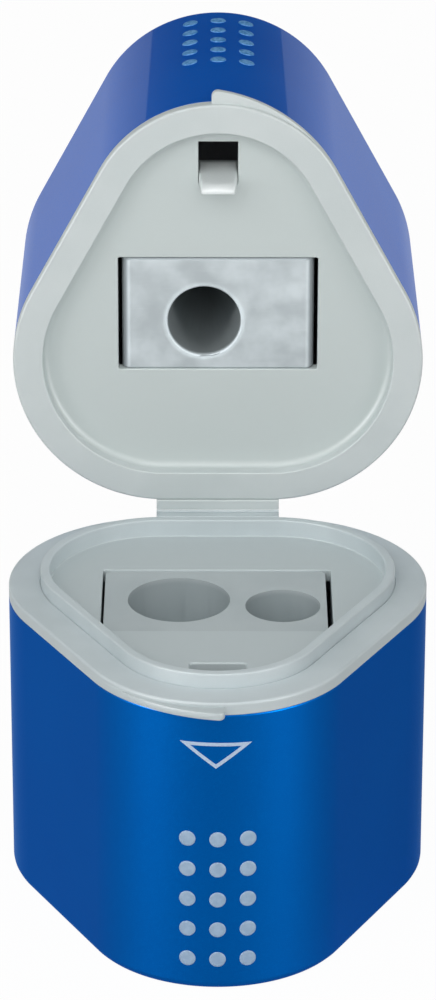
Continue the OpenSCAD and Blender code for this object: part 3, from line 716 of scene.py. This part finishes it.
upper_rim = lipped_outline(True)
face = JOINT_Z + RIM_PLAY
head = JOINT_Z + RIM_T + SKIRT_H
lid = Skin()
recess = softened([(RECESS + RECESS_INSET, UPPER_FLOOR, 0), (RECESS, UPPER_FLOOR, RECESS_FOOT),
                   (RECESS, face, RECESS_EDGE), (0, face, RIM_EDGE), (0, JOINT_Z + LIP_DROP, 0)])
flange = softened([(0, JOINT_Z + RIM_T, 0), (SKIRT_OUT, JOINT_Z + RIM_T, 0), (SKIRT_OUT, head, SKIRT_EDGE),
                   (SKIRT_IN, head, SKIRT_EDGE), (SKIRT_IN, LID_TOP, 0)])
lip_side = lip_rings(upper_rim, np.concatenate((LIP_OVER[::-1] + (JOINT_Z + LIP_DROP, 0),
                                                LIP_UNDER[::-1] * (-1, 1) + (JOINT_Z + RIM_T, 0))))
lid_rings = np.concatenate((carried(upper_rim[0], upper_rim[1], recess), lip_side,
                            carried(upper_rim[0], upper_rim[1], flange)))
lid.bands(lid_rings)
window = well(lid, metal_window, UPPER_FLOOR, LID_TOP)
slot = well(lid, latch_window, UPPER_FLOOR, LID_TOP)
lid.sheet([lid_rings[0], window[0], slot[0]], UPPER_FLOOR, up=False)
lid.sheet([lid_rings[-1], window[1], slot[1]], LID_TOP)
root = LID_TOP - WALL_ROOT
for y in (METAL_FRONT - POCKET_T, METAL_BACK):
    block_skin(lid, POCKET_INSET - METAL_W / 2, METAL_W / 2 - POCKET_INSET, y, y + POCKET_T,
               root, METAL_Z + GUIDE_LEN)
for side in (1, -1):
    clip_skin(lid, -METAL_W / 2, METAL_GAP, root, METAL_Z + METAL_LEN, METAL_CLIP_Y, side)
bridge = (TONGUE_Y + BRIDGE_AHEAD, TONGUE_Y + TONGUE_T + SLOT_BEHIND)
for side in (1, -1):
    xs = sorted((side * TAB_HALF, side * (TAB_HALF + BRIDGE_T)))
    block_skin(lid, *xs, *bridge, root, BRIDGE_Z + WALL_ROOT, BRIDGE_EDGE)
block_skin(lid, -TAB_HALF - BRIDGE_T, TAB_HALF + BRIDGE_T, *bridge, BRIDGE_Z, BRIDGE_Z + BRIDGE_T,
           BRIDGE_EDGE)
dress(lid.piece("upper_carrier_moulding", opened), upper_grey_painted_lighter, "upper_insert", "carrier_grey_upper",
      "upper_carrier")

# ---------------------------------------------------------------------------
# Latch tongue: a thin springy tab of the same grey plastic, polished, that hangs
# from a bar behind its window. Its small barb snaps into the lower floor's slot.
TONGUE_LINE = np.array([  # height, front face, back face, half width
    (40.46, -14.75, -14.3, 1.98), (40.38, -14.95, -14.1, 2.08), (40.1, -15.0, -14.05, 2.13),
    (37.6, -15.0, -14.05, 2.14), (36.4, -15.0, -14.05, 2.14), (35.4, -15.0, -14.05, 2.12),
    (34.6, -15.02, -14.05, 2.07), (33.9, -15.05, -14.05, 2.02), (33.3, -15.08, -14.05, 1.98),
    (32.8, -15.11, -14.05, 1.95), (32.4, -15.14, -14.06, 1.93), (32.1, -15.16, -14.1, 1.91),
    (31.9, -15.16, -14.15, 1.88), (31.76, -15.13, -14.2, 1.82), (31.66, -15.08, -14.28, 1.72)])
TONGUE_TIP, TONGUE_SIDE, TONGUE_SCOOP = TONGUE_LINE[-1, 0], 1.95, 0.55
TONGUE_EDGE, TONGUE_ROUND, TONGUE_PARTS = 0.22, 0.45, 12
SCOOP_LOW, SCOOP_RISE = 32.8, 1.2


def tongue_skin():
    """Rounded rectangles stacked down the tab; the front of its tip is cut back by a scoop.

    The scoop starts at low + rise (x / side)^2 and deepens as the square of the way to the tip.
    Its front side gets more points, put in between the two front ends of the corners."""
    skin = Skin()
    rings = []
    across = np.linspace(-1, 1, TONGUE_PARTS + 1)[1:-1, None]
    for z, front, back, half in TONGUE_LINE[::-1]:
        r = min(TONGUE_EDGE, TONGUE_ROUND * (back - front))
        loop = rectangle(-half, half, front, back, r, steps=5)
        near = loop[:, 1].argsort()[:2]
        start = near[loop[near, 0].argmin()]
        loop = np.roll(loop, -start - 1, axis=0)
        edge = np.column_stack((across * (half - TONGUE_EDGE), np.full(len(across), front)))
        loop = np.concatenate((edge, loop))
        begin = SCOOP_LOW + SCOOP_RISE * (loop[:, 0] / TONGUE_SIDE) ** 2
        t = np.clip((begin - z) / (begin - TONGUE_TIP), 0, 1)
        ahead = np.clip((back - loop[:, 1]) / (back - front), 0, 1)
        loop[:, 1] += TONGUE_SCOOP * t ** 2 * ahead
        rings.append(raised(loop, z))
    skin.bands(np.array(rings))
    skin.cap(rings[0], up=False)
    skin.cap(rings[-1])
    return skin


# the tab is the lid's grey plastic; its colour is painted lighter, as painted light
tab_grey_painted_light, spot = finish("polished_grey_tab_painted_light", Roughness=0.34, Specular_IOR_Level=0.5)
spot.noise(6.0, 2.0).tint(tone("E2E9E9"), tone("ECF1F1")).feeds("Base Color")
dress(tongue_skin().piece("latch_tab", opened, crease=60), tab_grey_painted_light, "latch", "carrier_grey_upper",
      "latch_tongue")

# ---------------------------------------------------------------------------
# Metal sharpener: a cast magnesium body with finger waists, tumbled bright, for
# coloured pencils. It slides into its window; its blade is screwed on as usual.
COLOUR_HOLE_X, COLOUR_HOLE_Z, COLOUR_HOLE_R = -1.55, 56.76, 4.1
CAST_FACE, CAST_TOP = 27.2, 64.35  # where its face and its far edge lie on the open lid
CAST_EDGE = 0.2
cast, spot = finish("tumbled_cast_metal", Metallic=0.75)
mottle = spot.noise(0.22, 3.0, 0.55)
scratch = spot.node("Mapping", {}, {"Vector": spot, "Rotation": (0.3, 0.9, 0.5),
                                    "Scale": (0.06, 1.0, 1.0)}).noise(5.0, 3.0)
# painted shade: the rolled side corners, the far edge and the bore are painted darker;
# the corners, the far edge and the rim of the hole are also rougher
across, up = spot.along(0), spot.along(2)
corner = (across * across).between(((METAL_W / 2 - 1.05) * MM) ** 2, ((METAL_W / 2 - 0.25) * MM) ** 2)
far_edge = up.between((CAST_TOP - 0.4) * MM, (CAST_TOP - 0.15) * MM)
aside, above = across - COLOUR_HOLE_X * MM, up - COLOUR_HOLE_Z * MM
rim = (aside * aside + above * above).between(((COLOUR_HOLE_R + 0.65) * MM) ** 2,
                                              ((COLOUR_HOLE_R + 0.15) * MM) ** 2)
bore = spot.along(1).between((CAST_FACE + 0.35) * MM, (CAST_FACE + 1.1) * MM)
grey = (mottle.between(0.3, 0.7) * 0.85 + scratch.between(0.6, 0.75) * 0.15).tint(
    tone("9CA3A6"), tone("B2B9BC"))
grey = corner.tint(grey, tone("6C7275"))
grey = far_edge.tint(grey, tone("8A9194"))
bore.tint(grey, tone("949B9D")).feeds("Base Color")
(0.42 + mottle * 0.16 + corner * 0.3 + far_edge * 0.3 + rim * (1 - bore) * 0.25).feeds("Roughness")
(mottle + scratch * 0.1).bumps(0.012, 0.35)
dress(from_solid("metal_sharpener", "metal_sharpener_body", CAST_EDGE, 3, clamped=False), cast,
      "upper_insert", "cast_metal", "metal_sharpener_body")
dress(from_solid("colour_cutter", "colour_blade", BLADE_EDGE, 1), blade_steel, "upper_insert",
      "blade_steel", "colour_blade")
dress(from_solid("colour_fixing", "colour_blade_screw", SCREW_EDGE, 1), screw_steel, "upper_insert",
      "screw_steel", "colour_blade_screw")

# ---------------------------------------------------------------------------
# Upper shell: the cup of the lid, moulded like the lower one and sprayed with
# the same blue under a clear gloss. It pulls off the skirt of the upper carrier.
UPPER_SHELL_H, UPPER_END = 33.3, 1.1
upper_blue, spot = finish("gloss_blue_lacquer", Coat_Weight=0.17, Coat_Roughness=0.03, Coat_IOR=1.4,
                          Specular_IOR_Level=0.08, Specular_Tint=(0.25, 0.5, 0.9, 1))
flake = spot.noise(9.0, 1.0)
cloud = spot.noise(0.05, 2.0)
(cloud * 0.35 + flake.between(0.45, 0.72) * 0.3).tint(tone("0054B8"), tone("0072DA")).feeds("Base Color")
(0.42 + flake.between(0.4, 0.7) * 0.08).feeds("Roughness")
(0.2 + flake * 0.1).feeds("Metallic")

upper_cup = Skin()
mouth = JOINT_Z + RIM_T
end = mouth + UPPER_SHELL_H
unsprayed = carried(outline, outward, softened([
    (WELL_INSET, end - UPPER_END, 0), (SHELL_WALL, end - UPPER_END, WELL_EDGE),
    (SHELL_WALL, mouth + SPRAYED_IN, 0)]))
sprayed = carried(outline, outward, softened([
    (SHELL_WALL, mouth + SPRAYED_IN, 0), (SHELL_WALL, mouth, MOUTH_EDGES[1]), (0, mouth, MOUTH_EDGES[0]),
    (0, end, BASE_EDGE), (BASE_INSET, end, 0)]))
upper_cup.bands(sprayed)
upper_cup.cap(sprayed[-1])
bare = len(upper_cup.faces)
upper_cup.bands(unsprayed)
upper_cup.cap(unsprayed[0], up=False)
dress(upper_cup.piece("upper_shell_lacquered", opened, bare_from=bare), (upper_blue, bare_abs), "upper_case",
      "shell_blue_upper", "upper_shell")

# ---------------------------------------------------------------------------
# Grip dots of the upper shell: pads of the same size in the same three columns,
# of a thin ink that the blue shows through.
thin_ink, spot = finish("thin_grip_ink", Roughness=0.6, Specular_IOR_Level=0.2)
spot.noise(2.5, 3.0).between(0.35, 0.65).tint(tone("3F83C0"), tone("6AA6DC")).feeds("Base Color")
spot.noise(12.0, 2.0).bumps(0.01, 0.3)
dress(dot_pads(JOINT_Z + DOT_FIRST, DOT_ROW).piece("upper_grip_pads", opened, crease=50),
      thin_ink, "upper_case", "dot_grey", "upper_grip_dots")

# ---------------------------------------------------------------------------
# Studio, in metres: white paper under the box in a white room, soft boxes at
# both sides and in front, strips and a dark card that only the gloss sees, and
# the camera. None of it is part of the box.
FLOOR_HALF = 3.0


def standing(name, corners, material):
    """One flat four-cornered face of the studio, with its material."""
    data = bpy.data.meshes.new(name)
    data.from_pydata(corners, [], [(0, 1, 2, 3)])
    data.materials.append(material)
    made = bpy.data.objects.new(name, data)
    bpy.context.scene.collection.objects.link(made)
    return made


def seen(tree, in_gloss=1.0):
    """1 where the camera looks or a clear material does, in_gloss in a reflection, else 0."""
    glossy, direct, through = (Wire(tree).node("LightPath", {}, {}, out="Is %s Ray" % kind)
                               for kind in ("Glossy", "Camera", "Transmission"))
    return (in_gloss * glossy).or_more(direct).or_more(through)


# the paper is white to the eye; in the gloss, a patch of it to the right of the box is darker
paper, spot = finish("white_paper", Base_Color=(0.86, 0.86, 0.86, 1), Roughness=0.9,
                     Specular_IOR_Level=0.1)
tree = paper.node_tree
x, y = spot.along(0), spot.along(1)
shade = (x.between(0.0, 0.03) * x.between(0.25, 0.12)
         * y.between(-0.05, -0.01) * y.between(0.25, 0.12))
whiteness = seen(tree, 1 - shade * 0.6) * 0.97
glow = spot.node("Emission", {}, {"Color": (1, 1, 1, 1), "Strength": 1.0})
base = Wire(tree, tree.nodes["Principled BSDF"].outputs[0])
blend = spot.node("MixShader", {}, {0: whiteness, 1: base, 2: glow})
tree.links.new(blend.socket, tree.nodes["Material Output"].inputs["Surface"])
standing("floor", [(-FLOOR_HALF, -FLOOR_HALF, 0), (FLOOR_HALF, -FLOOR_HALF, 0),
                   (FLOOR_HALF, FLOOR_HALF, 0), (-FLOOR_HALF, FLOOR_HALF, 0)], paper)

ROOM_LIGHT = 0.4
world = bpy.data.worlds.new("studio")
bpy.context.scene.world = world
world.use_nodes = True
tree = world.node_tree
strength = ROOM_LIGHT + seen(tree) * (1 - ROOM_LIGHT)
tree.links.new(strength.socket, tree.nodes["Background"].inputs["Strength"])
tree.nodes["Background"].inputs["Color"].default_value = (1, 1, 1, 1)

BOX_MIDDLE = Vector((0, 0.01, 0.04))


def soft_box(name, azimuth, height, distance, size, power, gloss_only=False):
    """Rectangular lamp at that azimuth from the front and height angle, turned to the box's middle.

    Both angles are in degrees and the power is in watts."""
    lamp = bpy.data.lights.new(name, "AREA")
    lamp.shape = "RECTANGLE"
    lamp.size, lamp.size_y = size
    lamp.energy = power
    holder = bpy.data.objects.new(name, lamp)
    bpy.context.scene.collection.objects.link(holder)
    a, h = math.radians(azimuth), math.radians(height)
    way = Vector((math.sin(a) * math.cos(h), -math.cos(a) * math.cos(h), math.sin(h)))
    holder.location = BOX_MIDDLE + way * distance
    holder.rotation_euler = (-way).to_track_quat("-Z", "Y").to_euler()
    holder.visible_camera = False
    holder.visible_diffuse = not gloss_only


SIDE_BOX, FRONT_BOX, STRIP, CROWN = (0.3, 0.6), (0.2, 0.15), (0.07, 0.4), (0.3, 0.25)
soft_box("left_box", -52, 25, 0.8, SIDE_BOX, 1.0)
soft_box("right_box", 52, 25, 0.8, SIDE_BOX, 0.55)
soft_box("front_box", -6, 40, 0.22, FRONT_BOX, 0.2)
soft_box("left_strip", -50, 8, 0.7, STRIP, 8.8, gloss_only=True)
soft_box("right_strip", 50, 8, 0.7, STRIP, 8.0, gloss_only=True)
soft_box("crown_strip", -20, 66, 0.6, CROWN, 1.8, gloss_only=True)

# the dark card keeps the depth of the lid's front corner
CARD_HALF, CARD_BACK, CARD_LEFT, CARD_RIGHT, CARD_TOP = 0.9, 0.8, 0.16, 0.2, 1.6
felt, _ = finish("black_felt", Base_Color=(0.005, 0.005, 0.008, 1), Specular_IOR_Level=0.0)
card = standing("dark_card", [(-CARD_HALF, CARD_BACK, CARD_LEFT), (CARD_HALF, CARD_BACK, CARD_RIGHT),
                              (CARD_HALF, CARD_BACK, CARD_TOP), (-CARD_HALF, CARD_BACK, CARD_TOP)], felt)
card.visible_camera = card.visible_diffuse = card.visible_shadow = card.visible_transmission = False

# the camera's place, its film and its lens are in millimetres
CAMERA_AT = (-0.617, -443.58, 245.27)
CAMERA_DOWN, CAMERA_AZIMUTH, CAMERA_ROLL = 24.083, 0.08, 0.1
FILM_HIGH, FOCAL = 36.0, 162.47
down, azimuth, roll = (math.radians(v) for v in (CAMERA_DOWN, CAMERA_AZIMUTH, CAMERA_ROLL))
ahead = Vector((math.sin(azimuth) * math.cos(down), math.cos(azimuth) * math.cos(down), -math.sin(down)))
level = ahead.cross(Vector((0, 0, 1))).normalized()
up = level.cross(ahead)
right = math.cos(roll) * level + math.sin(roll) * up
top = -math.sin(roll) * level + math.cos(roll) * up
lens = bpy.data.cameras.new("camera")
lens.sensor_fit, lens.sensor_height, lens.lens = "VERTICAL", FILM_HIGH, FOCAL
camera = bpy.data.objects.new("camera", lens)
bpy.context.scene.collection.objects.link(camera)
camera.matrix_world = Matrix.Translation(Vector(CAMERA_AT) * MM) @ Matrix(
    (right, top, -ahead)).transposed().to_4x4()
bpy.context.scene.camera = camera
bpy.context.scene.view_settings.view_transform = "Standard"
